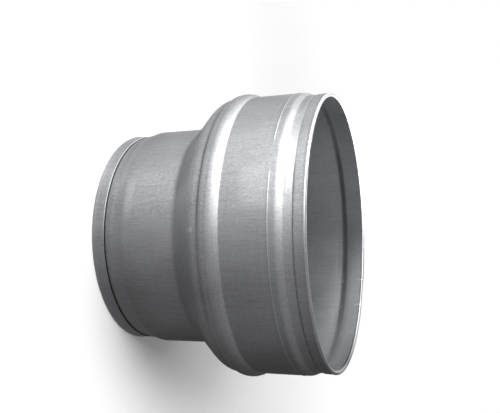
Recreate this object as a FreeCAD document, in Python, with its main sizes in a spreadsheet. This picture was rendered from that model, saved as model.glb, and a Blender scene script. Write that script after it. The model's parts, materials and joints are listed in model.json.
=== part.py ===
import FreeCAD, Part
import math
import os

import Sketcher

# Pressed sheet-steel duct reducer with two male spigots. It is one piece of sheet, turned out
# from one section about the Z axis: a folded hem, a small spigot, a beaded shoulder, a large
# spigot and a second folded hem. Each hem is a slim teardrop: its two layers part from the cut
# edge to the fold. It stands on its small rim, at z = 0, and lengths are in mm.

# Driving sizes, each written once. The alias is the name that the formulas below use.
sizes = (
    ("sheet", 0.5, "thickness of the sheet"),
    ("overall_length", 96.4, "from rim to rim"),
    ("small_spigot_d", 99.3, "outside of the small spigot"),
    ("large_spigot_d", 124.3, "outside of the large spigot"),
    ("small_draw", 1.25, "how far the small rim is drawn in from its spigot"),
    ("large_draw", 0.9, "how far the large rim is drawn in from its spigot"),
    ("lip_radius", 0.9, "outside radius of the fold at each rim"),
    ("hem_gap", 0.05, "between a hem's cut edge and the wall behind it"),
    ("small_hem", 6.15, "height of the small hem"),
    ("large_hem", 5.25, "height of the large hem"),
    ("hem_lean", 2.5, "how far the outer layer of a hem leans out towards its rim, degrees"),
    ("groove_bend", 1.5, "hollow bend beside the small hem's cut edge"),
    ("groove_run", 0.3, "along the wall from the cut edge to that bend"),
    ("land_rise", 3.05, "from the small hem's cut edge to the narrow land above it"),
    ("land_bend", 1.5, "rounding of the land"),
    ("step_rise", 1.0, "from there to the hollow bend above the land"),
    ("step_bend", 3.0, "hollow bend above the land"),
    ("tube_rise", 5.4, "from there to where the small spigot becomes straight"),
    ("small_tube_bend", 6.0, "rounding at the start of the small spigot"),
    ("shoulder_bend", 3.5, "hollow bend at the foot of the shoulder"),
    ("shoulder_angle", 45.0, "slope of the shoulder's straight run from the axis, degrees"),
    ("lobe_bend", 8.0, "rounding of the shoulder below the crease"),
    ("lobe_angle", 6.0, "slope of that rounding at the crease, degrees"),
    ("crease_bend", 0.5, "hollow bend in the crease"),
    ("bead_height", 1.59, "how far the bead stands out from the large spigot"),
    ("bead_level", 58.5, "level of the bead's crest"),
    ("bead_bend", 7.1, "rounding of the bead"),
    ("bead_angle", 35.0, "slope of the bead at the crease, degrees"),
    ("corner_bend", 0.6, "hollow bend between the bead and the large spigot"),
    ("bend_run", 0.3, "straight stretch between neighbouring tight bends"),
    ("draw_drop", 6.85, "from the large hem's cut edge to where the spigot starts to draw in"),
    ("large_tube_bend", 4.2, "rounding at the end of the large spigot"),
    ("neck_bend", 2.5, "hollow bend at the foot of that draw"),
    ("neck_run", 3.15, "along the wall from that bend to the large hem's cut edge"),
    ("line_drop", 9.1, "from the large hem's cut edge to the fine pressed line"),
    ("line_height", 0.15, "how far that line stands out"),
    ("line_width", 0.9, "width of that line"),
    ("front_seam", -28.5, "direction of one seam, degrees about the axis from +X"),
    ("back_seam", 149.0, "direction of the other seam, degrees"),
    ("seam_angle", 12.5, "stretch at each seam with no line and a dressed rim, degrees"),
    ("dressing", 0.3, "how far the rim is dressed down at a seam"),
)

# Where the rims and the cut edges lie, as formulas of those sizes. Behind each cut edge the wall
# has the radius of its seat, and from there it runs straight on to the fold at the hem's slope.
places = (
    ("small_collar", "small_spigot_d / 2 - small_draw", "outside radius of the small rim"),
    ("large_collar", "large_spigot_d / 2 - large_draw", "outside radius of the large rim"),
    ("large_cut", "overall_length - large_hem", "level of the large hem's cut edge"),
    ("line_level", "large_cut - line_drop", "level of the fine pressed line"),
    ("fold_bend", "lip_radius - sheet", "radius of a fold on its inside"),
    ("small_open", "(fold_bend - (small_hem - lip_radius) * sin(hem_lean)) / cos(hem_lean) - hem_gap",
     "from the middle of the small fold out to the seat"),
    ("large_open", "(fold_bend - (large_hem - lip_radius) * sin(hem_lean)) / cos(hem_lean) - hem_gap",
     "from the middle of the large fold out to the seat"),
    ("small_slope", "atan(small_open / (small_hem - lip_radius))"
     " + asin(fold_bend / sqrt(small_open ^ 2 + (small_hem - lip_radius) ^ 2))",
     "slope of the wall behind the small hem"),
    ("large_slope", "atan(large_open / (large_hem - lip_radius))"
     " + asin(fold_bend / sqrt(large_open ^ 2 + (large_hem - lip_radius) ^ 2))",
     "slope of the wall behind the large hem"),
    ("small_seat", "small_collar - lip_radius + small_open", "outside radius of the wall at the small seat"),
    ("large_seat", "large_collar - lip_radius + large_open", "outside radius of the wall at the large seat"),
)

# Each bend is a circle that the wall wraps round. Its centre radius, its centre height and its
# radius are formulas of the sizes, taken on the outer face of the wall. A bulge has its centre
# on the axis side of the wall, and a hollow has it on the air side.
bends = (
    ("small_fold", "hollow",
     "small_collar - lip_radius",
     "lip_radius",
     "fold_bend"),
    ("small_groove", "hollow",
     "small_seat + groove_bend * cos(small_slope) + groove_run * sin(small_slope)",
     "small_hem - groove_bend * sin(small_slope) + groove_run * cos(small_slope)",
     "groove_bend"),
    ("land", "bulge",
     "small_collar - land_bend",
     "small_hem + land_rise",
     "land_bend"),
    ("step", "hollow",
     "small_collar + step_bend",
     "land_z + step_rise",
     "step_bend"),
    ("small_tube", "bulge",
     "small_spigot_d / 2 - small_tube_bend",
     "step_z + tube_rise",
     "small_tube_bend"),
    ("shoulder", "hollow",
     "small_spigot_d / 2 + shoulder_bend",
     "lobe_z + ((shoulder_r - lobe_r) * cos(shoulder_angle) - shoulder_bend - lobe_bend)"
     " / sin(shoulder_angle)",
     "shoulder_bend"),
    ("lobe", "bulge",
     "crease_r - (lobe_bend + crease_bend) * cos(lobe_angle) - bend_run * sin(lobe_angle)",
     "crease_z + (lobe_bend + crease_bend) * sin(lobe_angle) - bend_run * cos(lobe_angle)",
     "lobe_bend"),
    ("crease", "hollow",
     "bead_r + (bead_bend + crease_bend) * cos(bead_angle) - bend_run * sin(bead_angle)",
     "bead_z - (bead_bend + crease_bend) * sin(bead_angle) - bend_run * cos(bead_angle)",
     "crease_bend"),
    ("bead", "bulge",
     "large_spigot_d / 2 + bead_height - bead_bend",
     "bead_level",
     "bead_bend"),
    ("corner", "hollow",
     "large_spigot_d / 2 + corner_bend",
     "bead_z + sqrt(bend_run ^ 2 + bead_height * (2 * (bead_bend + corner_bend) - bead_height))",
     "corner_bend"),
    ("large_tube", "bulge",
     "large_spigot_d / 2 - large_tube_bend",
     "large_cut - draw_drop",
     "large_tube_bend"),
    ("large_neck", "hollow",
     "large_seat + neck_bend * cos(large_slope) + neck_run * sin(large_slope)",
     "large_cut + neck_bend * sin(large_slope) - neck_run * cos(large_slope)",
     "neck_bend"),
    ("large_fold", "hollow",
     "large_collar - lip_radius",
     "overall_length - lip_radius",
     "fold_bend"),
)

doc = FreeCAD.newDocument("duct_reducer")
sheet = doc.addObject("Spreadsheet::Sheet", "sizes")


def write_sheet():
    """Sizes as plain numbers in rows of their own, then the places and the bends as formulas."""
    for row, (name, value, note) in enumerate(sizes, 1):
        sheet.set(f"A{row}", note)
        sheet.set(f"B{row}", str(value))
        sheet.setAlias(f"B{row}", name)
    for row, (name, formula, note) in enumerate(places, row + 1):
        sheet.set(f"A{row}", note)
        sheet.set(f"B{row}", "=" + formula)
        sheet.setAlias(f"B{row}", name)
    first = row + 1
    for row, bend in enumerate(bends, first):
        sheet.set(f"A{row}", bend[0])
        for column, ending in zip("BCD", ("_r", "_z", "_bend_r")):
            sheet.setAlias(f"{column}{row}", bend[0] + ending)
    for row, bend in enumerate(bends, first):
        for column, formula in zip("BCD", bend[2:]):
            sheet.set(f"{column}{row}", "=" + formula)
    doc.recompute()


def size(name):
    return float(sheet.get(name))


def plane_point(radius, height):
    return FreeCAD.Vector(radius, height, 0)


def wrap_points(depth):
    """Where the wall touches each bend, coming and going, on the face that lies depth mm in
    from the outer face. The section starts and ends along the leaning outer layer of a hem."""
    centres = []
    turns = []
    for name, form, *_ in bends:
        bend = size(name + "_bend_r")
        centres.append(plane_point(size(name + "_r"), size(name + "_z")))
        turns.append((bend if form == "bulge" else -bend) - depth)
    lean = math.radians(size("hem_lean"))
    normals = [plane_point(math.cos(lean), math.sin(lean))]
    for k in range(len(bends) - 1):
        span = centres[k + 1] - centres[k]
        heading = math.atan2(span.y, span.x) + math.acos((turns[k + 1] - turns[k]) / span.Length)
        normals.append(plane_point(math.cos(heading), math.sin(heading)))
    normals.append(plane_point(math.cos(lean), -math.sin(lean)))
    touches = []
    for k in range(len(bends)):
        coming = centres[k] - normals[k] * turns[k]
        going = centres[k] - normals[k + 1] * turns[k]
        touches.append((coming, going, centres[k]))
    return touches


def new_sketch(body, name, direction=None):
    """A sketch on the upright plane through the axis, turned to a direction where one is named:
    across it is the radius and up it is the height."""
    sketch = body.newObject("Sketcher::SketchObject", name)
    for plane in body.Origin.OriginFeatures:
        if plane.Role == "XZ_Plane":
            sketch.AttachmentSupport = [(plane, "")]
    sketch.MapMode = "FlatFace"
    if direction:
        sketch.AttachmentOffset = FreeCAD.Placement(
            FreeCAD.Vector(0, 0, 0), FreeCAD.Rotation(FreeCAD.Vector(0, 1, 0), size("front_seam")))
        sketch.setExpression("AttachmentOffset.Rotation.Angle", direction)
    return sketch


def constrain(sketch, kind, *where, formula=None):
    """Adds one constraint, and binds it to the sheet where a formula is given."""
    if formula is None:
        sketch.addConstraint(Sketcher.Constraint(kind, *where))
        return
    number = sketch.addConstraint(Sketcher.Constraint(kind, *where))
    sketch.setExpression(f"Constraints[{number}]", formula)


# Sketcher's numbers for the points of a curve, and its own origin point.
start, end, centre = range(1, 4)
origin = (-1, start)


def draw_face(sketch, depth, small_cut, large_cut):
    """One face of the sheet: an arc at each bend, the straight runs between them and the two
    leaning runs from the cut edges to the folds. Gives back the numbers of those last two."""
    touches = wrap_points(depth)
    arcs = []
    for (name, form, *_), (coming, going, middle) in zip(bends, touches):
        first, last = (coming, going) if form == "bulge" else (going, coming)
        reach = first - middle
        spread = last - middle
        circle = Part.Circle(middle, FreeCAD.Vector(0, 0, 1), reach.Length)
        arc = Part.ArcOfCircle(circle, math.atan2(reach.y, reach.x), math.atan2(spread.y, spread.x))
        number = sketch.addGeometry(arc, False)
        came, goes = (start, end) if form == "bulge" else (end, start)
        arcs.append((number, came, goes))
        bend_formula = f"sizes.{name}_bend_r"
        if depth:
            bend_formula += " - sizes.sheet" if form == "bulge" else " + sizes.sheet"
        constrain(sketch, "DistanceX", *origin, number, centre, middle.x, formula=f"sizes.{name}_r")
        constrain(sketch, "DistanceY", *origin, number, centre, middle.y, formula=f"sizes.{name}_z")
        constrain(sketch, "Radius", number, reach.Length, formula=bend_formula)
    for k in range(len(bends) - 1):
        run = sketch.addGeometry(Part.LineSegment(touches[k][1], touches[k + 1][0]), False)
        constrain(sketch, "Tangent", run, start, arcs[k][0], arcs[k][2])
        constrain(sketch, "Tangent", run, end, arcs[k + 1][0], arcs[k + 1][1])
    lean = math.tan(math.radians(size("hem_lean")))
    ends = (
        (small_cut, touches[0][0], arcs[0][0], arcs[0][1], "sizes.hem_lean - 90"),
        (large_cut, touches[-1][1], arcs[-1][0], arcs[-1][2], "90 - sizes.hem_lean"),
    )
    flaps = []
    for cut, side, fold, ending, heading in ends:
        rise = side.y - cut
        drawn_in = abs(rise) * lean
        flap = sketch.addGeometry(Part.LineSegment(plane_point(side.x - drawn_in, cut), side), False)
        constrain(sketch, "Tangent", flap, end, fold, ending)
        constrain(sketch, "Angle", flap, math.atan2(rise, drawn_in), formula=heading)
        flaps.append(flap)
    return flaps


def draw_section(sketch):
    """The whole section of the folded sheet."""
    small_cut = size("small_hem")
    large_cut = size("large_cut")
    outer = draw_face(sketch, 0, small_cut, large_cut)
    inner = draw_face(sketch, size("sheet"), small_cut, large_cut)
    levels = ("sizes.small_hem", "sizes.large_cut")
    for flap, other, cut, level in zip(outer, inner, (small_cut, large_cut), levels):
        cap = Part.LineSegment(sketch.Geometry[flap].StartPoint, sketch.Geometry[other].StartPoint)
        number = sketch.addGeometry(cap, False)
        constrain(sketch, "Coincident", number, start, flap, start)
        constrain(sketch, "Coincident", number, end, other, start)
        constrain(sketch, "Horizontal", number)
        constrain(sketch, "DistanceY", *origin, number, start, cut, formula=level)


def draw_line(sketch, face, face_formula):
    """The section of the pressed line on one face of the large spigot: a low round crest with
    a root that reaches half a sheet further in."""
    level = size("line_level")
    half = size("line_width") / 2
    crest = size("line_height")
    root = size("sheet") / 2
    round_radius = (half ** 2 + crest ** 2) / (2 * crest)
    spread = math.asin(half / round_radius)
    low_root = plane_point(face - root, level - half)
    low_face = plane_point(face, level - half)
    high_face = plane_point(face, level + half)
    high_root = plane_point(face - root, level + half)
    back = sketch.addGeometry(Part.LineSegment(high_root, low_root), False)
    lower = sketch.addGeometry(Part.LineSegment(low_root, low_face), False)
    middle = plane_point(face + crest - round_radius, level)
    circle = Part.Circle(middle, FreeCAD.Vector(0, 0, 1), round_radius)
    crown = sketch.addGeometry(Part.ArcOfCircle(circle, -spread, spread), False)
    upper = sketch.addGeometry(Part.LineSegment(high_face, high_root), False)
    constrain(sketch, "Coincident", back, end, lower, start)
    constrain(sketch, "Coincident", lower, end, crown, start)
    constrain(sketch, "Coincident", crown, end, upper, start)
    constrain(sketch, "Coincident", upper, end, back, start)
    constrain(sketch, "Vertical", back)
    constrain(sketch, "Horizontal", lower)
    constrain(sketch, "Horizontal", upper)
    constrain(sketch, "Vertical", lower, end, upper, start)
    constrain(sketch, "DistanceX", *origin, lower, end, face, formula=face_formula)
    constrain(sketch, "DistanceX", lower, start, lower, end, root, formula="sizes.sheet / 2")
    constrain(sketch, "DistanceY", *origin, lower, start, level - half,
              formula="sizes.line_level - sizes.line_width / 2")
    constrain(sketch, "DistanceY", lower, start, upper, end, 2 * half, formula="sizes.line_width")
    constrain(sketch, "Radius", crown, round_radius,
              formula="(sizes.line_width ^ 2 / 4 + sizes.line_height ^ 2) / (2 * sizes.line_height)")


def draw_dressing(sketch):
    """What is dressed off the rim at a seam: a thin skin inside the fold and one on top."""
    rim = size("large_collar")
    fold_inside = rim - 2 * size("lip_radius")
    spare = size("lip_radius")
    top = size("overall_length")
    skin = size("dressing")
    foot = size("large_cut")
    corners = (
        plane_point(fold_inside - spare, foot),
        plane_point(fold_inside + skin, foot),
        plane_point(fold_inside + skin, top - skin),
        plane_point(rim + spare, top - skin),
        plane_point(rim + spare, top + spare),
        plane_point(fold_inside - spare, top + spare),
    )
    sides = []
    for k in range(len(corners)):
        run = Part.LineSegment(corners[k], corners[(k + 1) % len(corners)])
        sides.append(sketch.addGeometry(run, False))
        constrain(sketch, "Vertical" if k % 2 else "Horizontal", sides[k])
    for k in range(len(corners)):
        constrain(sketch, "Coincident", sides[k], end, sides[(k + 1) % len(corners)], start)
    inside = "sizes.large_collar - 2 * sizes.lip_radius"
    constrain(sketch, "DistanceX", *origin, sides[0], start, corners[0].x,
              formula=inside + " - sizes.lip_radius")
    constrain(sketch, "DistanceX", *origin, sides[1], start, corners[1].x,
              formula=inside + " + sizes.dressing")
    constrain(sketch, "DistanceX", *origin, sides[3], start, corners[3].x,
              formula="sizes.large_collar + sizes.lip_radius")
    constrain(sketch, "DistanceY", *origin, sides[0], start, foot, formula="sizes.large_cut")
    constrain(sketch, "DistanceY", *origin, sides[2], start, corners[2].y,
              formula="sizes.overall_length - sizes.dressing")
    constrain(sketch, "DistanceY", *origin, sides[4], start, corners[4].y,
              formula="sizes.overall_length + sizes.lip_radius")


def turn(body, kind, name, sketch, angle):
    """A revolution or groove of a sketch about its upright axis, through a formula's angle."""
    feature = body.newObject("PartDesign::" + kind, name)
    feature.Profile = sketch
    feature.ReferenceAxis = (sketch, ["V_Axis"])
    feature.setExpression("Angle", angle)
    doc.recompute()
    body.Tip = feature
    return feature


write_sheet()
shell = doc.addObject("PartDesign::Body", "reducer_shell")
shell.Label = "reducer_shell"
section = new_sketch(shell, "sheet_section")
draw_section(section)
turn(shell, "Revolution", "sheet_wall", section, "360 deg")

# The line runs round from each seam to the other. Where it stands out, it is hollow inside.
spans = (
    ("front", "sizes.front_seam + sizes.seam_angle / 2",
     "sizes.back_seam - sizes.front_seam - sizes.seam_angle"),
    ("back", "sizes.back_seam + sizes.seam_angle / 2",
     "360 - sizes.back_seam + sizes.front_seam - sizes.seam_angle"),
)
for side, direction, angle in spans:
    crest = new_sketch(shell, side + "_line_crest", direction)
    draw_line(crest, size("large_spigot_d") / 2, "sizes.large_spigot_d / 2")
    turn(shell, "Revolution", side + "_line", crest, angle)
    hollow = new_sketch(shell, side + "_line_hollow", direction)
    draw_line(hollow, size("large_spigot_d") / 2 - size("sheet"), "sizes.large_spigot_d / 2 - sizes.sheet")
    turn(shell, "Groove", side + "_line_inside", hollow, angle)

for side in ("front", "back"):
    dressed = new_sketch(shell, side + "_dressing", f"sizes.{side}_seam - sizes.seam_angle / 2")
    draw_dressing(dressed)
    turn(shell, "Groove", side + "_dressed_rim", dressed, "sizes.seam_angle")

doc.recompute()
for item in doc.Objects:
    if "Invalid" in item.State or "Error" in item.State:
        raise RuntimeError(item.Name + " failed: " + item.getStatusString())
if shell.Shape.isNull() or not shell.Shape.isValid() or len(shell.Shape.Solids) != 1:
    raise RuntimeError("reducer_shell is not one valid solid")
os.makedirs("parts", exist_ok=True)
shell.Shape.exportStep(f"parts/{shell.Label}.step")
print("volume, cubic mm:", round(shell.Shape.Volume, 1))
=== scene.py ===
import json
import math

import bpy
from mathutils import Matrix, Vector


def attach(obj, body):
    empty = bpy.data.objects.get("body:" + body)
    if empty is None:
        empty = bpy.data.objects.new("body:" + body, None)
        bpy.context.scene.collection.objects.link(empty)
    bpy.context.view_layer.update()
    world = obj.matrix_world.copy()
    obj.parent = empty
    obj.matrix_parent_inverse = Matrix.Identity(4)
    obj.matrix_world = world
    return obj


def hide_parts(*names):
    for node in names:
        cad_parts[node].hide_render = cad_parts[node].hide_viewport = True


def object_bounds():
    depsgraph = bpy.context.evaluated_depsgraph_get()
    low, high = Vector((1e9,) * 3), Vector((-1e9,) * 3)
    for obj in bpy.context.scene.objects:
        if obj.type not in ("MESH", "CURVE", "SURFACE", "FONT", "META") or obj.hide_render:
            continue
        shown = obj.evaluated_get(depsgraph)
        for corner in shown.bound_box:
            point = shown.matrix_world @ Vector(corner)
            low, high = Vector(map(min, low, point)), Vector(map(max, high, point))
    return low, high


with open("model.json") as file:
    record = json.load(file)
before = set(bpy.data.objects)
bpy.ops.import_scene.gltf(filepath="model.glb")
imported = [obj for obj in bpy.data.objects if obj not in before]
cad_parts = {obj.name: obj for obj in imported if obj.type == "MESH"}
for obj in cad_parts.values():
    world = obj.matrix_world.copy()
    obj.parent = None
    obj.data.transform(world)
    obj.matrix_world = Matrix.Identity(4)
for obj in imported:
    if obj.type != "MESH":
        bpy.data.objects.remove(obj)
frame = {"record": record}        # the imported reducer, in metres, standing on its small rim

cadBox = [list(corner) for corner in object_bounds()]
boxLow, boxHigh = cadBox
spigots = {mount["name"]: mount["dims"]["r_mm"] / 1000 for mount in frame["record"]["mounts"]}
mm = 0.001
top = (boxHigh[2] - boxLow[2]) / mm     # level of the large rim


def deselectAll():
    if bpy.context.object and bpy.context.object.mode != "OBJECT":
        bpy.ops.object.mode_set(mode="OBJECT")
    bpy.ops.object.select_all(action="DESELECT")


def pick(piece):
    deselectAll()
    piece.select_set(True)
    bpy.context.view_layer.objects.active = piece


# The folded sheet, in mm and degrees. The spigots' radii, the bead's and the length come from the frame.
sheetValues = {
    "sheet": 0.5, "smallDraw": 1.25, "largeDraw": 0.9, "lip": 0.9, "hemGap": 0.05,
    "smallHem": 5.9, "largeHem": 5.25, "hemLean": 2.5,
    "grooveBend": 1.5, "grooveRun": 0.3, "landRise": 3.3, "landBend": 1.5,
    "stepRise": 1.0, "stepBend": 3.0, "tubeRise": 5.4, "smallTubeBend": 6.0,
    "shoulderBend": 3.5, "shoulderAngle": 45.0, "lobeBend": 8.0, "lobeAngle": 6.0,
    "creaseBend": 0.5, "beadLevel": 58.5, "beadBend": 7.1, "beadAngle": 35.0,
    "cornerBend": 0.6, "bendRun": 0.3, "drawDrop": 6.85, "largeTubeBend": 4.2,
    "neckBend": 2.5, "neckRun": 3.15,
    "pinchDrop": 1.9, "pinchBend": 1.4, "pinchDepth": 0.12,     # the slight hollow below each fold
    "edgeRound": 0.2,     # rounding of the hems' cut edges, on the side that shows
    "lineDrop": 9.1, "lineHeight": 0.15, "lineWidth": 0.9, "lineInside": 0.04, "lineSteps": 3,
    "seams": (-28.5, 149.0), "seamWidth": 12.5, "lineFade": 0.8, "dressing": 0.3,
    "burr": 0.22, "burrGrain": 0.9, "seamBurr": 0.2,     # the last one is the share of burr that a seam keeps
    "swell": 0.1, "swellGrain": 28.0, "swellFrom": 2.0,     # the folds of the rims stay level
    "arcStep": 12.0,       # degrees of bend to a face
    "runStep": 5.0,        # longest face along a straight run
    "columns": 440,        # faces round the axis
    "smoothUnder": 40.0,   # edges that turn more than this stay sharp
    "weld": 0.0005, "closeWeld": 0.005,     # points closer than this are joined, in the section and round it
    "near": 0.001, "nearWall": 0.004, "nearLevel": 0.01,     # finds the points of the cuts and of the line
}


def polar(angle):
    return math.cos(math.radians(angle)), math.sin(math.radians(angle))


# Where the wall behind a hem lies at the level of the cut edge, and how it slopes to the fold.
def hemSeat(hem, v):
    leanCos, leanSin = polar(v["hemLean"])
    fold = v["lip"] - v["sheet"]
    opened = (fold - (hem - v["lip"]) * leanSin) / leanCos - v["hemGap"]
    slope = math.atan2(opened, hem - v["lip"]) + math.asin(fold / math.hypot(opened, hem - v["lip"]))
    return opened - v["lip"], math.cos(slope), math.sin(slope)


# Circles that the wall wraps round, on its outer face: bulge or hollow, centre radius, height, radius.
# They run from one hem's cut edge round its fold, up the wall and round the other fold to its edge.
def sheetBends(v):
    small = spigots["small_spigot"] / mm
    large = spigots["large_spigot"] / mm
    beadHeight = boxHigh[0] / mm - large
    smallRim = small - v["smallDraw"]
    largeRim = large - v["largeDraw"]
    cut = top - v["largeHem"]
    fold = v["lip"] - v["sheet"]
    smallSeat, smallCos, smallSin = hemSeat(v["smallHem"], v)
    largeSeat, largeCos, largeSin = hemSeat(v["largeHem"], v)
    landZ = v["smallHem"] + v["landRise"]
    stepZ = landZ + v["stepRise"]
    beadR = large + beadHeight - v["beadBend"]
    beadCos, beadSin = polar(v["beadAngle"])
    lobeCos, lobeSin = polar(v["lobeAngle"])
    slopeCos, slopeSin = polar(v["shoulderAngle"])
    creaseR = beadR + (v["beadBend"] + v["creaseBend"]) * beadCos - v["bendRun"] * beadSin
    creaseZ = v["beadLevel"] - (v["beadBend"] + v["creaseBend"]) * beadSin - v["bendRun"] * beadCos
    lobeR = creaseR - (v["lobeBend"] + v["creaseBend"]) * lobeCos - v["bendRun"] * lobeSin
    lobeZ = creaseZ + (v["lobeBend"] + v["creaseBend"]) * lobeSin - v["bendRun"] * lobeCos
    shoulderR = small + v["shoulderBend"]
    shoulderRun = (shoulderR - lobeR) * slopeCos - v["shoulderBend"] - v["lobeBend"]
    cornerRise = v["bendRun"] ** 2 + beadHeight * (2 * (v["beadBend"] + v["cornerBend"]) - beadHeight)
    pinch = v["pinchBend"] - v["sheet"] - v["pinchDepth"]
    return (
        (True, smallRim + pinch, v["pinchDrop"], v["pinchBend"]),
        (False, smallRim - v["lip"], v["lip"], fold),
        (False, smallRim + smallSeat + v["grooveBend"] * smallCos + v["grooveRun"] * smallSin,
         v["smallHem"] - v["grooveBend"] * smallSin + v["grooveRun"] * smallCos, v["grooveBend"]),
        (True, smallRim - v["landBend"], landZ, v["landBend"]),
        (False, smallRim + v["stepBend"], stepZ, v["stepBend"]),
        (True, small - v["smallTubeBend"], stepZ + v["tubeRise"], v["smallTubeBend"]),
        (False, shoulderR, lobeZ + shoulderRun / slopeSin, v["shoulderBend"]),
        (True, lobeR, lobeZ, v["lobeBend"]),
        (False, creaseR, creaseZ, v["creaseBend"]),
        (True, beadR, v["beadLevel"], v["beadBend"]),
        (False, large + v["cornerBend"], v["beadLevel"] + math.sqrt(cornerRise), v["cornerBend"]),
        (True, large - v["largeTubeBend"], cut - v["drawDrop"], v["largeTubeBend"]),
        (False, largeRim + largeSeat + v["neckBend"] * largeCos + v["neckRun"] * largeSin,
         cut + v["neckBend"] * largeSin - v["neckRun"] * largeCos, v["neckBend"]),
        (False, largeRim - v["lip"], top - v["lip"], fold),
        (True, largeRim + pinch, top - v["pinchDrop"], v["pinchBend"]),
    )


# Points of one face of the wall, from the small hem's cut edge to the large one's.
def wallFace(bends, depth, v):
    turns = [(radius if bulge else -radius) - depth for bulge, r, z, radius in bends]
    leanCos, leanSin = polar(v["hemLean"] / 2)
    normals = [(leanCos, leanSin)]
    for k in range(len(bends) - 1):
        acrossR = bends[k + 1][1] - bends[k][1]
        acrossZ = bends[k + 1][2] - bends[k][2]
        heading = math.atan2(acrossZ, acrossR)
        heading += math.acos((turns[k + 1] - turns[k]) / math.hypot(acrossR, acrossZ))
        normals.append((math.cos(heading), math.sin(heading)))
    normals.append((leanCos, -leanSin))
    reach = []
    for (bulge, r, z, radius), turn, cut in ((bends[0], turns[0], v["smallHem"]),
                                             (bends[-1], turns[-1], top - v["largeHem"])):
        reach.append((r - (turn + leanSin * abs(cut - z)) / leanCos, cut))
    points = [reach[0]]
    for (bulge, r, z, radius), turn, came, goes in zip(bends, turns, normals, normals[1:]):
        start = math.atan2(-came[1] * turn, -came[0] * turn)
        sweep = math.atan2(-goes[1] * turn, -goes[0] * turn) - start
        sweep %= 2 * math.pi if bulge else -2 * math.pi
        touch = (r + abs(turn) * math.cos(start), z + abs(turn) * math.sin(start))
        points += runPoints(points[-1], touch, v["runStep"])
        faces = max(2, math.ceil(abs(math.degrees(sweep)) / v["arcStep"]))
        for k in range(faces + 1):
            angle = start + sweep * k / faces
            points.append((r + abs(turn) * math.cos(angle), z + abs(turn) * math.sin(angle)))
    points += runPoints(points[-1], reach[1], v["runStep"])
    points.append(reach[1])
    if depth:
        points[-1:] = roundCorner(reach[1], v["edgeRound"], 1)[::-1]
        points[:1] = roundCorner(reach[0], v["edgeRound"], -1)
    ridge = v["lineInside"] if depth else v["lineHeight"]
    return pressLine(points, top - v["largeHem"] - v["lineDrop"], ridge, v)


# A hem's outer corner at the cut edge, eased by hand; side is 1 where the hem lies above the cut.
def roundCorner(corner, ease, side):
    r, z = corner
    return [(r - ease * flat, z + side * ease * rise) for flat, rise in ((1, 0), (0.3, 0.3), (0, 1))]


# Points inside a straight run, none further apart than the longest face.
def runPoints(start, end, longest):
    faces = math.ceil(math.dist(start, end) / longest)
    return [(start[0] + (end[0] - start[0]) * k / faces, start[1] + (end[1] - start[1]) * k / faces)
            for k in range(1, faces)]


# How far out and how far up a point of the pressed line lies, some steps away from its crest.
def linePlace(step, height, v):
    share = step / v["lineSteps"]
    return height * (0.5 + 0.5 * math.cos(math.pi * share)), v["lineWidth"] / 2 * share


# The face with the fine ridge that is pressed all round the large spigot.
def pressLine(points, level, height, v):
    k = max(k for k in range(len(points) - 1) if points[k][1] < level < points[k + 1][1])
    wall = points[k][0]
    ridge = [linePlace(step, height, v) for step in range(-v["lineSteps"], v["lineSteps"] + 1)]
    return points[:k + 1] + [(wall + out, level + rise) for out, rise in ridge] + points[k + 1:]


# Selects the points whose numbers are wanted, and nothing else.
def pickPoints(piece, wanted):
    bpy.ops.mesh.select_all(action="DESELECT")
    bpy.ops.object.mode_set(mode="OBJECT")
    for index in wanted:
        piece.data.vertices[index].select = True
    bpy.ops.object.mode_set(mode="EDIT")


def buildShell(v):
    bends = sheetBends(v)
    section = wallFace(bends, 0, v) + wallFace(bends, v["sheet"], v)[::-1]
    deselectAll()
    bpy.ops.mesh.primitive_plane_add(size=mm, location=(0, 0, 0))
    shell = bpy.context.object
    shell.name = "reducerShell"
    bpy.ops.object.mode_set(mode="EDIT")
    bpy.ops.mesh.select_all(action="SELECT")
    bpy.ops.mesh.merge(type="CENTER")
    r, z = section[0]
    bpy.ops.transform.translate(value=(r * mm, 0, z * mm))
    for (r0, z0), (r1, z1) in zip(section, section[1:] + section[:1]):
        step = ((r1 - r0) * mm, 0, (z1 - z0) * mm)
        bpy.ops.mesh.extrude_region_move(TRANSFORM_OT_translate={"value": step})
    bpy.ops.mesh.select_all(action="SELECT")
    bpy.ops.mesh.remove_doubles(threshold=v["weld"] * mm)
    bpy.ops.object.mode_set(mode="OBJECT")
    turn = shell.modifiers.new("turn", "SCREW")
    turn.steps = v["columns"]
    turn.render_steps = v["columns"]
    turn.use_merge_vertices = True
    turn.merge_threshold = v["closeWeld"] * mm
    bpy.ops.object.modifier_apply(modifier=turn.name)
    bpy.ops.object.mode_set(mode="EDIT")
    bpy.ops.mesh.select_all(action="SELECT")
    bpy.ops.mesh.normals_make_consistent(inside=False)
    dressSeams(shell, v)
    bpy.ops.object.mode_set(mode="OBJECT")
    roughenSheet(shell, v)
    bpy.ops.object.shade_smooth_by_angle(angle=math.radians(v["smoothUnder"]))
    even = shell.modifiers.new("even", "WEIGHTED_NORMAL")
    even.keep_sharp = True
    bpy.ops.object.modifier_apply(modifier=even.name)
    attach(shell, "root")
    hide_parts("reducer_shell")
    return shell


# Degrees round the axis from a place on the sheet to the nearest seam.
def fromSeam(place, v):
    angle = math.degrees(math.atan2(place.y, place.x))
    return min(abs((angle - seam + 180) % 360 - 180) for seam in v["seams"])


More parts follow.
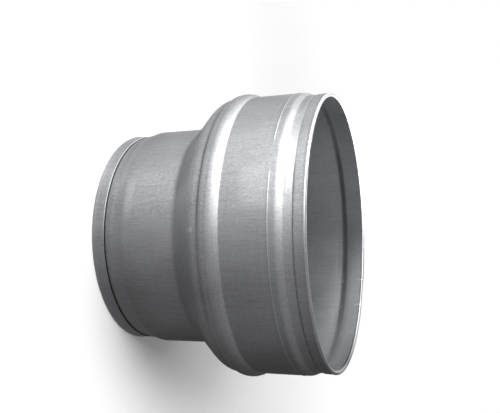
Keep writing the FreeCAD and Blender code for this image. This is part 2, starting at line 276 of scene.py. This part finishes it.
# At each seam the pressed line stops and the large rim is dressed flat.
def dressSeams(shell, v):
    wall = spigots["large_spigot"] / mm
    level = top - v["largeHem"] - v["lineDrop"]
    half = v["seamWidth"] / 2

    bpy.ops.object.mode_set(mode="OBJECT")
    places = []
    for vertex in shell.data.vertices:
        away = fromSeam(vertex.co, v)
        if away < half + v["lineFade"]:
            places.append((vertex.index, vertex.co.xy.length / mm, vertex.co.z / mm, away))
    bpy.ops.object.mode_set(mode="EDIT")
    for depth, height in ((0, v["lineHeight"]), (v["sheet"], v["lineInside"])):
        for step in range(v["lineSteps"]):
            out, rise = linePlace(step, height, v)
            ridge = wall - depth + out
            for nearest, furthest, share in ((0, half, 0), (half, half + v["lineFade"], 0.5)):
                pickPoints(shell, [index for index, r, z, away in places if nearest <= away < furthest
                                   and abs(r - ridge) < v["nearWall"]
                                   and abs(abs(z - level) - rise) < v["nearLevel"]])
                flat = (ridge + (wall - depth - ridge) * (1 - share)) / ridge
                bpy.ops.transform.resize(value=(flat, flat, 1), center_override=(0, 0, 0))
    pickPoints(shell, [index for index, r, z, away in places if away <= half and z > top - v["dressing"]])
    bpy.ops.transform.resize(value=(1, 1, 0), center_override=(0, 0, (top - v["dressing"]) * mm))


# Slow swells over the whole sheet, and burrs on the two cut edges of the hems.
def roughenSheet(shell, v):
    cuts = (v["smallHem"], top - v["largeHem"])
    walls = [spigots[name] / mm - v["sheet"] - v["lip"] / 2 for name in ("small_spigot", "large_spigot")]
    edge = shell.vertex_groups.new(name="cutEdge")
    clearSheet = shell.vertex_groups.new(name="openSheet")
    for vertex in shell.data.vertices:
        r, z = vertex.co.xy.length / mm, vertex.co.z / mm
        if any(abs(z - cut) < v["near"] and r > wall for cut, wall in zip(cuts, walls)):
            share = 1 if fromSeam(vertex.co, v) > v["seamWidth"] else v["seamBurr"]
            edge.add([vertex.index], share, "REPLACE")
        elif v["swellFrom"] < z < top - v["swellFrom"]:
            clearSheet.add([vertex.index], 1, "REPLACE")
    for name, group, grain, strength, way, level in (
        ("swell", "openSheet", v["swellGrain"], v["swell"], "NORMAL", 1.0),
        ("burr", "cutEdge", v["burrGrain"], v["burr"], "Z", 0.5),
    ):
        texture = bpy.data.textures.new(name, "CLOUDS")
        texture.noise_scale = grain * mm
        displace = shell.modifiers.new(name, "DISPLACE")
        displace.texture = texture
        displace.texture_coords = "LOCAL"
        displace.vertex_group = group
        displace.direction = way
        displace.mid_level = level
        displace.strength = strength * mm
        pick(shell)
        bpy.ops.object.modifier_apply(modifier=displace.name)


# Sizes in mm and angles in degrees; the strengths are shares of the sheet's tone.
# A band is its middle, half its width and its fade; a noise is its size, stretch along the axis and strength.
metalValues = {
    "tone": (0.52, 0.527, 0.545), "roughness": 0.46, "cloudRough": 0.08, "grainRough": 0.06,
    "grain": (0.55, 0.5, 0.45), "streak": (0.5, 0.05, 0.4), "cloud": (15.0, 0.6, 0.3),
    "speck": (0.5, 0.4, 0.7), "speckBand": (-22.0, 9.0, 10.0),     # coarse zinc beside the front seam
    "roller": (1.1, 0.3), "rollerBand": (55.0, 9.0, 3.0), "rollerAway": 0.3,     # rings left by the pressing
    # painted shade in the crease beside the bead, fainter around 40 degrees
    "crease": (54.5, 0.15, 1.0), "creaseDark": 0.42, "creaseShadeFaint": (40.0, 30.0, 25.0), "creaseKept": 0.25,
    # painted shade along the large hem's cut edge, where the sheet is also rougher
    "cutHalf": 0.26, "cutFade": 0.2, "cutRagged": (0.9, 0.2, 0.8), "largeDark": 0.45, "cutRough": 0.2,
    "cutShadeFaint": (-41.0, 14.0, 6.0), "cutKept": 0.3,     # the painted shade under the large cut is fainter here
    "gap": (0.1, 0.16, 0.04), "smallDark": 0.8,     # painted shade in the gap above the small cut
    "cutShine": 0.9, "shine": (-0.24, 0.12, 0.1), "shineSide": (-50.0, 30.0, 30.0),     # and a painted highlight below it, on the lit side
    "lipFrom": 0.9, "lipFade": 0.3, "lipShine": 0.2, "lipSmooth": 0.08,
    "inside": 0.8, "insideLit": (126.0, 12.0, 38.0), "insideMore": 0.42,     # painted shade on the inner wall, and painted light on its lit side
    "slantLevel": 86.0, "slant": 1.7,     # the level of that band, and how it goes round on the way up
    # the painted light inside is stronger near the large rim
    "rimBand": (93.5, 3.0, 2.5), "rimMore": 0.65,
    "turnedIn": -0.3, "turnedOut": -0.1,     # the inside ends between these: cosine from straight outwards
    "bump": 0.02, "speckRelief": 1.2, "ringRelief": 1.5,
    # angle, height, half angle, half height and brightness
    "marksAndPaintedLight": (
        (-2.0, 51.7, 0.6, 0.45, 0.35), (-1.5, 50.1, 0.4, 0.3, 0.25),      # nicks below the crease
        (37.5, 49.9, 3.5, 0.25, 0.35), (36.5, 55.1, 3.0, 0.25, 0.3),      # scratches on both sides of it
        (155.6, 94.8, 0.12, 1.1, 0.9), (142.0, 94.6, 0.12, 1.1, 0.9),     # the back seam at the rim
        (155.2, 85.6, 0.3, 0.4, 0.6), (141.5, 85.8, 0.3, 0.4, 0.6),       # and in the neck
        (-19.0, 17.3, 6.0, 1.3, 0.18), (-17.0, 77.0, 5.0, 4.0, 0.14),     # painted highlights on the lit side of both tubes
        # a painted highlight on the lit side of the large draw
        (-24.0, 89.7, 6.0, 0.8, 0.28),
        (-40.0, 43.0, 14.0, 3.4, -0.26), (-52.0, 9.4, 14.0, 0.8, -0.15),     # painted shade on the shoulder's slope and on the land next to the small hem
        # painted shade that dims the large draw's highlight, and painted shade on the rim's far lip
        (-66.0, 87.8, 8.0, 1.4, -0.2), (128.0, 96.2, 24.0, 0.8, -0.75),
    ),
}


# A new node whose sockets are joined to other nodes' outputs or set to plain values.
def addNode(tree, kind, sockets=None, **settings):
    made = tree.nodes.new(kind)
    for name, value in settings.items():
        setattr(made, name, value)
    for name, value in (sockets or {}).items():
        if isinstance(value, bpy.types.NodeSocket):
            tree.links.new(value, made.inputs[name])
        else:
            made.inputs[name].default_value = value
    return made


def addMath(tree, operation, first, second=0.0, third=0.0):
    return addNode(tree, "ShaderNodeMath", {0: first, 1: second, 2: third}, operation=operation).outputs[0]


def newGroup(name, inputs, outputs):
    group = bpy.data.node_groups.new(name, "ShaderNodeTree")
    for way, sockets in (("INPUT", inputs), ("OUTPUT", outputs)):
        for label, kind in sockets:
            group.interface.new_socket(name=label, in_out=way, socket_type="NodeSocket" + kind)
    return group, group.nodes.new("NodeGroupInput").outputs, group.nodes.new("NodeGroupOutput").inputs


# Object coordinates as angle round the axis in degrees, height in mm, and a place in mm.
def unrolledGroup():
    group, given, result = newGroup("unrolledSheet", (("Place", "Vector"),),
                                    (("Angle", "Float"), ("Height", "Float"), ("Millimetres", "Vector")))
    sized = addNode(group, "ShaderNodeVectorMath", {0: given["Place"], 3: 1 / mm}, operation="SCALE")
    split = addNode(group, "ShaderNodeSeparateXYZ", {0: sized.outputs[0]})
    angle = addMath(group, "ARCTAN2", split.outputs["Y"], split.outputs["X"])
    group.links.new(addMath(group, "MULTIPLY", angle, 180 / math.pi), result["Angle"])
    group.links.new(split.outputs["Z"], result["Height"])
    group.links.new(sized.outputs[0], result["Millimetres"])
    return group


# 1 within half of the middle, 0 beyond the fade.
def bandGroup():
    group, given, result = newGroup("band", [(name, "Float") for name in ("Value", "Middle", "Half", "Fade")],
                                    (("Mask", "Float"),))
    away = addMath(group, "ABSOLUTE", addMath(group, "SUBTRACT", given["Value"], given["Middle"]))
    outer = addMath(group, "ADD", given["Half"], given["Fade"])
    ease = addNode(group, "ShaderNodeMapRange", {"Value": away, "From Min": given["Half"], "From Max": outer,
                   "To Min": 1.0, "To Max": 0.0}, interpolation_type="SMOOTHSTEP")
    group.links.new(ease.outputs["Result"], result["Mask"])
    return group


# Noise round zero, stretched along the axis when the stretch is below 1.
def grainGroup():
    inputs = (("Millimetres", "Vector"), ("Size", "Float"), ("Stretch", "Float"))
    group, given, result = newGroup("grain", inputs, (("Shade", "Float"),))
    longer = addNode(group, "ShaderNodeCombineXYZ", {"X": 1.0, "Y": 1.0, "Z": given["Stretch"]}).outputs[0]
    drawn = addNode(group, "ShaderNodeVectorMath", {0: given["Millimetres"], 1: longer}, operation="MULTIPLY")
    noise = addNode(group, "ShaderNodeTexNoise", {"Vector": drawn.outputs[0], "Detail": 2.0,
                    "Scale": addMath(group, "DIVIDE", 1.0, given["Size"])})
    group.links.new(addMath(group, "SUBTRACT", noise.outputs["Fac"], 0.5), result["Shade"])
    return group


def metalMaterial(v):
    material = bpy.data.materials.new("galvanisedSheet")
    material.use_nodes = True
    tree = material.node_tree
    shader = tree.nodes["Principled BSDF"]
    band, grain = bandGroup(), grainGroup()
    place = addNode(tree, "ShaderNodeTexCoord").outputs["Object"]
    sheet = addNode(tree, "ShaderNodeGroup", {"Place": place}, node_tree=unrolledGroup())
    angle, height, sized = (sheet.outputs[name] for name in ("Angle", "Height", "Millimetres"))
    level = addNode(tree, "ShaderNodeVectorMath", {0: place, 1: (1, 1, 0)}, operation="MULTIPLY").outputs[0]
    spoke = addNode(tree, "ShaderNodeVectorMath", {0: level}, operation="NORMALIZE").outputs[0]
    normal = addNode(tree, "ShaderNodeNewGeometry").outputs["True Normal"]
    facing = addNode(tree, "ShaderNodeVectorMath", {0: normal, 1: spoke}, operation="DOT_PRODUCT")
    outside = addNode(tree, "ShaderNodeMapRange", {"Value": facing.outputs["Value"],
                      "From Min": v["turnedIn"], "From Max": v["turnedOut"]}).outputs[0]

    def inBand(value, middle, half, fade):
        sockets = {"Value": value, "Middle": middle, "Half": half, "Fade": fade}
        return addNode(tree, "ShaderNodeGroup", sockets, node_tree=band).outputs["Mask"]

    def noiseOf(name):
        size, stretch = v[name][:2]
        sockets = {"Millimetres": sized, "Size": size, "Stretch": stretch}
        return addNode(tree, "ShaderNodeGroup", sockets, node_tree=grain).outputs["Shade"]

    def times(first, second):
        return addMath(tree, "MULTIPLY", first, second)

    # First plus a share of the second.
    def plus(first, second, share):
        return addMath(tree, "MULTIPLY_ADD", second, share, first)

    fine, lines, specks, cloud = (noiseOf(name) for name in ("grain", "streak", "speck", "cloud"))
    ring = addNode(tree, "ShaderNodeTexNoise", {"W": height, "Scale": 1 / v["roller"][0], "Detail": 2.0},
                   noise_dimensions="1D").outputs["Fac"]
    ring = times(addMath(tree, "SUBTRACT", ring, 0.5),
                 plus(v["rollerAway"], inBand(height, *v["rollerBand"]), 1 - v["rollerAway"]))
    specks = times(specks, inBand(angle, *v["speckBand"]))
    shade = plus(1.0, fine, v["grain"][2])
    for noise, name in ((lines, "streak"), (cloud, "cloud"), (ring, "roller"), (specks, "speck")):
        shade = plus(shade, noise, v[name][-1])

    # The hems' cut edges: a ragged line of painted shade at the large one, painted shade in the gap and a
    # painted highlight on the lit side of the edge at the small one.
    smallCut, largeCut = sheetValues["smallHem"], top - sheetValues["largeHem"]
    ragged = plus(height, noiseOf("cutRagged"), v["cutRagged"][2])
    cutLine = times(inBand(ragged, largeCut + v["cutHalf"], v["cutHalf"], v["cutFade"]),
                    plus(1.0, inBand(angle, *v["cutShadeFaint"]), v["cutKept"] - 1))
    cutLine = times(cutLine, outside)
    over, gapHalf, gapFade = v["gap"]
    gap = times(inBand(height, smallCut + over, gapHalf, gapFade), outside)
    under, shineHalf, shineFade = v["shine"]
    shine = times(inBand(height, smallCut + under, shineHalf, shineFade), inBand(angle, *v["shineSide"]))
    shade = plus(shade, times(shine, outside), v["cutShine"])

    # The inner wall is painted darker, as painted shade inside the tube, apart from a band of painted light
    # on its lit side, which goes round on the way up.
    shade = times(shade, plus(v["inside"], outside, 1 - v["inside"]))
    litAngle, litHalf, litFade = v["insideLit"]
    slanted = plus(angle, height, -v["slant"])
    inner = times(inBand(slanted, litAngle - v["slantLevel"] * v["slant"], litHalf, litFade),
                  addMath(tree, "SUBTRACT", 1.0, outside))
    inner = times(inner, plus(1.0, inBand(height, *v["rimBand"]), v["rimMore"]))
    shade = plus(shade, inner, v["insideMore"])

    # Painted shade darkens the tone in the crease and along both cut edges.
    crease = times(inBand(height, *v["crease"]),
                   plus(1.0, inBand(angle, *v["creaseShadeFaint"]), v["creaseKept"] - 1))
    for mask, dark in ((cutLine, v["largeDark"]), (gap, v["smallDark"]), (crease, v["creaseDark"])):
        shade = times(shade, plus(1.0, mask, -dark))
    # Each patch adds to the tone: real nicks, scratches and seam marks, and painted highlights and painted
    # shade.
    for markAngle, markHeight, halfAngle, halfHeight, bright in v["marksAndPaintedLight"]:
        mark = times(inBand(angle, markAngle, halfAngle, halfAngle),
                     inBand(height, markHeight, halfHeight, halfHeight))
        shade = plus(shade, mark, bright)
    lip = addMath(tree, "SUBTRACT", 1.0, inBand(height, top / 2, top / 2 - v["lipFrom"], v["lipFade"]))
    shade = plus(shade, lip, v["lipShine"])

    tone = addNode(tree, "ShaderNodeVectorMath", {0: v["tone"], 3: shade}, operation="SCALE").outputs[0]
    tree.links.new(tone, shader.inputs["Base Color"])
    rough = plus(v["roughness"], cloud, v["cloudRough"])
    rough = plus(rough, fine, v["grainRough"])
    rough = plus(rough, lip, -v["lipSmooth"])
    tree.links.new(plus(rough, cutLine, v["cutRough"]), shader.inputs["Roughness"])
    relief = addMath(tree, "ADD", plus(fine, specks, v["speckRelief"]), lines)
    relief = plus(relief, ring, v["ringRelief"])
    bump = addNode(tree, "ShaderNodeBump", {"Height": relief, "Distance": v["bump"] * mm, "Strength": 1.0})
    tree.links.new(bump.outputs["Normal"], shader.inputs["Normal"])
    shader.inputs["Metallic"].default_value = 1
    return material


floorValues = {
    "size": 8.0, "tone": (0.9, 0.9, 0.9, 1), "roughness": 0.9, "lift": 0.07,
    "whiteFrom": 0.12, "whiteTo": 0.45,     # metres from the reducer, where the floor turns plain white
}


# 1 for the rays that show the background: camera, glossy and transmission.
def seenRays(tree):
    path = addNode(tree, "ShaderNodeLightPath").outputs
    seen = addMath(tree, "ADD", path["Is Camera Ray"], path["Is Glossy Ray"])
    seen = addNode(tree, "ShaderNodeMath", {0: seen, 1: path["Is Transmission Ray"]}, use_clamp=True)
    return seen.outputs[0]


def buildFloor(v):
    deselectAll()
    bpy.ops.mesh.primitive_plane_add(size=v["size"], location=(0, 0, 0))
    floor = bpy.context.object
    floor.name = "studioFloor"
    material = bpy.data.materials.new("paleFloor")
    material.use_nodes = True
    tree = material.node_tree
    shader = tree.nodes["Principled BSDF"]
    for name, value in (("Base Color", v["tone"]), ("Roughness", v["roughness"]), ("Specular IOR Level", 0)):
        shader.inputs[name].default_value = value
    place = addNode(tree, "ShaderNodeTexCoord").outputs["Object"]
    reach = addNode(tree, "ShaderNodeVectorMath", {0: place}, operation="LENGTH").outputs["Value"]
    far = addNode(tree, "ShaderNodeMapRange", {"Value": reach, "From Min": v["whiteFrom"],
                  "From Max": v["whiteTo"]}, interpolation_type="SMOOTHSTEP").outputs["Result"]
    glow = addNode(tree, "ShaderNodeEmission", {"Strength": v["lift"]}).outputs[0]
    lifted = addNode(tree, "ShaderNodeAddShader", {0: shader.outputs[0], 1: glow}).outputs[0]
    white = addNode(tree, "ShaderNodeEmission", {"Strength": 1.0}).outputs[0]
    shown = addNode(tree, "ShaderNodeMixShader", {0: far, 1: lifted, 2: white}).outputs[0]
    mix = addNode(tree, "ShaderNodeMixShader", {0: seenRays(tree), 1: shader.outputs[0], 2: shown}).outputs[0]
    tree.links.new(mix, tree.nodes["Material Output"].inputs["Surface"])
    floor.data.materials.append(material)


# A mat round and inside the foot and a tent that curves up from its edge, apart from the open part: only
# reflections see them, and their glow stands in for the studio's lamps and shade. Lengths in metres, angles
# in degrees. Low and high are tones by azimuth, below and above the rise, and shares are parts of the low
# tone by radius, with painted shade under the reducer and in a ring round its foot.
tentValues = {
    "mat": 0.34, "reach": 0.6, "above": 0.0002, "top": 84.0, "rings": 8, "columns": 180,
    "openFrom": -108.0, "openTo": -20.0, "riseFrom": 0.04, "riseTo": 0.16,
    "low": ((-180, 0.25), (-150, 0.25), (-125, 0.33), (-100, 0.46), (-75, 0.52), (-55, 0.6), (-38, 0.76),
            (-20, 0.48), (0, 0.3), (15, 0.2), (35, 0.145), (80, 0.1), (105, 0.04), (165, 0.03), (180, 0.25)),
    "high": ((-180, 0.8), (-155, 1.2), (-130, 2.4), (-112, 2.2), (-106, 1.0), (-30, 1.2), (-15, 0.75),
             (0, 0.46), (15, 0.3), (95, 0.22), (125, 0.05), (155, 0.15), (180, 0.8)),
    "shares": ((0, 0.2), (0.046, 0.2), (0.0487, 1.2), (0.0508, 1.2), (0.0528, 0.75), (0.0545, 0.75),
               (0.056, 1.2), (0.059, 1.25), (0.0625, 0.55), (0.071, 0.55), (0.085, 1.2), (0.14, 1.2),
               (0.21, 1.06), (0.27, 1.06), (0.3, 1.25), (0.6, 1.25)),
}


# A colour ramp over a range of values, with grey tones.
def addRamp(tree, value, low, high, tones):
    spread = addNode(tree, "ShaderNodeMapRange", {"Value": value, "From Min": low, "From Max": high})
    ramp = addNode(tree, "ShaderNodeValToRGB", {0: spread.outputs["Result"]})
    stops = ramp.color_ramp.elements
    stops.remove(stops[1])
    for place, tone in tones:
        share = (place - low) / (high - low)
        stop = stops.new(share) if share else stops[0]
        stop.color = (tone, tone, tone, 1)
    return ramp.outputs["Color"]


# A material without a shader, to be given a glow.
def clothMaterial(name):
    material = bpy.data.materials.new(name)
    material.use_nodes = True
    material.node_tree.nodes.remove(material.node_tree.nodes["Principled BSDF"])
    return material


# Gives a cloth its glow and hides it from everything but reflections.
def hangCloth(cloth, material, glow):
    tree = material.node_tree
    tree.links.new(glow.outputs[0], tree.nodes["Material Output"].inputs["Surface"])
    cloth.data.materials.append(material)
    cloth.visible_camera = False
    cloth.visible_diffuse = False
    cloth.visible_shadow = False


def buildTent(v):
    deselectAll()
    bpy.ops.mesh.primitive_circle_add(vertices=v["columns"], radius=v["mat"], fill_type="NGON",
                                      location=(0, 0, v["above"]))
    tent = bpy.context.object
    tent.name = "greyTent"
    bpy.ops.object.mode_set(mode="EDIT")
    bpy.ops.mesh.select_all(action="DESELECT")
    bpy.ops.object.mode_set(mode="OBJECT")
    for vertex in tent.data.vertices:
        angle = math.degrees(math.atan2(vertex.co.y, vertex.co.x))
        vertex.select = not v["openFrom"] < angle < v["openTo"]
    bpy.ops.object.mode_set(mode="EDIT")
    bpy.ops.mesh.extrude_region_move()
    grow = v["reach"] / v["mat"]
    bpy.ops.transform.resize(value=(grow, grow, 1), center_override=(0, 0, 0))
    flat, rise = 1.0, 0.0
    for k in range(1, v["rings"] + 1):
        nextFlat, nextRise = polar(v["top"] * k / v["rings"])
        step = (0, 0, v["reach"] * (nextRise - rise))
        bpy.ops.mesh.extrude_region_move(TRANSFORM_OT_translate={"value": step})
        grow = nextFlat / flat
        bpy.ops.transform.resize(value=(grow, grow, 1), center_override=(0, 0, 0))
        flat, rise = nextFlat, nextRise
    bpy.ops.object.mode_set(mode="OBJECT")

    material = clothMaterial("gradedCloth")
    tree = material.node_tree
    place = addNode(tree, "ShaderNodeTexCoord").outputs["Object"]
    split = addNode(tree, "ShaderNodeSeparateXYZ", {0: place})
    turn = addMath(tree, "ARCTAN2", split.outputs["Y"], split.outputs["X"])
    turn = addMath(tree, "MULTIPLY", turn, 180 / math.pi)
    low, high = (addRamp(tree, turn, -180, 180, v[name]) for name in ("low", "high"))
    climb = addNode(tree, "ShaderNodeMapRange", {"Value": split.outputs["Z"], "From Min": v["riseFrom"],
                    "From Max": v["riseTo"]}).outputs["Result"]
    tone = addNode(tree, "ShaderNodeMix", {0: climb, 6: low, 7: high}, data_type="RGBA").outputs[2]
    reach = addNode(tree, "ShaderNodeVectorMath", {0: place}, operation="LENGTH").outputs["Value"]
    shares = addRamp(tree, reach, 0, v["reach"], v["shares"])
    level = addNode(tree, "ShaderNodeMix", {0: climb, 2: shares, 3: 1.0}, data_type="FLOAT").outputs[0]
    hangCloth(tent, material, addNode(tree, "ShaderNodeEmission", {"Color": tone, "Strength": level}))


# The cloth overhead, for reflections alone.
canopyValues = {"height": 0.5, "radius": 0.34, "columns": 90, "tone": 0.25}


def buildCanopy(v):
    deselectAll()
    bpy.ops.mesh.primitive_circle_add(vertices=v["columns"], radius=v["radius"], fill_type="NGON",
                                      location=(0, 0, v["height"]))
    canopy = bpy.context.object
    canopy.name = "overheadCloth"
    material = clothMaterial("plainCloth")
    hangCloth(canopy, material, addNode(material.node_tree, "ShaderNodeEmission", {"Strength": v["tone"]}))


# Two soft boxes for the metal's reflections and two for the floor's shadow. Azimuth and height in degrees,
# distance and size in metres, and how bright the lamp's face is.
lampValues = {
    "soft": {"azimuth": -61, "height": 33, "reach": 0.8, "wide": 1.2, "high": 1.1, "turn": 0,
             "glow": 2.1, "gloss": True},
    "shade": {"azimuth": -35, "height": 37, "reach": 0.9, "wide": 0.5, "high": 0.95, "turn": 0,
              "glow": 7.6, "gloss": False},
    "above": {"azimuth": -75, "height": 83, "reach": 0.9, "wide": 0.55, "high": 0.55, "turn": 0,
              "glow": 2.2, "gloss": False},
    "card": {"azimuth": -158, "height": 47, "reach": 0.107, "wide": 0.08, "high": 0.05, "turn": -72,
             "glow": 4.8, "gloss": True},     # turned to the near side of the rim
}


def addLamp(name, v):
    across, deep = polar(v["azimuth"])
    flat, rise = polar(v["height"])
    lamp = bpy.data.lights.new(name, "AREA")
    lamp.shape = "ELLIPSE" if v["gloss"] else "RECTANGLE"
    lamp.size = v["wide"]
    lamp.size_y = v["high"]
    lamp.energy = v["glow"] * math.pi * v["wide"] * v["high"]
    holder = bpy.data.objects.new(name, lamp)
    bpy.context.scene.collection.objects.link(holder)
    middle = 0.05     # metres above the floor, where the lamps point
    holder.location = (v["reach"] * flat * across, v["reach"] * flat * deep, v["reach"] * rise + middle)
    holder.rotation_euler = (math.radians(90 - v["height"]), 0, math.radians(v["azimuth"] + 90 + v["turn"]))
    holder.visible_camera = False
    holder.visible_glossy = v["gloss"]
    holder.visible_diffuse = not v["gloss"]


worldValues = {"fill": 0.25, "shown": 1.0}


def setWorld(v):
    world = bpy.data.worlds.new("studioAir")
    bpy.context.scene.world = world
    world.use_nodes = True
    tree = world.node_tree
    level = addNode(tree, "ShaderNodeMapRange", {"Value": seenRays(tree), "To Min": v["fill"],
                    "To Max": v["shown"]})
    air = tree.nodes["Background"]
    air.inputs["Color"].default_value = (1, 1, 1, 1)
    tree.links.new(level.outputs["Result"], air.inputs["Strength"])


cameraValues = {
    "place": (0.2885, 0, 0.1555),
    "turn": (5.382, -70.565, 176.834),     # degrees: the camera lies on its side
    "lens": 47.502,
    "sensor": 36.0,
    "near": 0.01,
}


def addCamera(v):
    data = bpy.data.cameras.new("camera")
    data.lens = v["lens"]
    data.sensor_width = v["sensor"]
    data.clip_start = v["near"]
    camera = bpy.data.objects.new("camera", data)
    bpy.context.scene.collection.objects.link(camera)
    camera.location = v["place"]
    camera.rotation_euler = [math.radians(angle) for angle in v["turn"]]
    bpy.context.scene.camera = camera


shell = buildShell(sheetValues)
print("reducer shell:", len(shell.data.vertices), "vertices")
shell.data.materials.append(metalMaterial(metalValues))
print("galvanised sheet:", len(metalValues["marksAndPaintedLight"]), "marksAndPaintedLight")
buildFloor(floorValues)
buildTent(tentValues)
buildCanopy(canopyValues)
for lampName, lampSizes in lampValues.items():
    addLamp(lampName + "Lamp", lampSizes)
setWorld(worldValues)
addCamera(cameraValues)
bpy.context.scene.view_settings.view_transform = "Standard"
print("studio: floor, tent, lamps and camera")
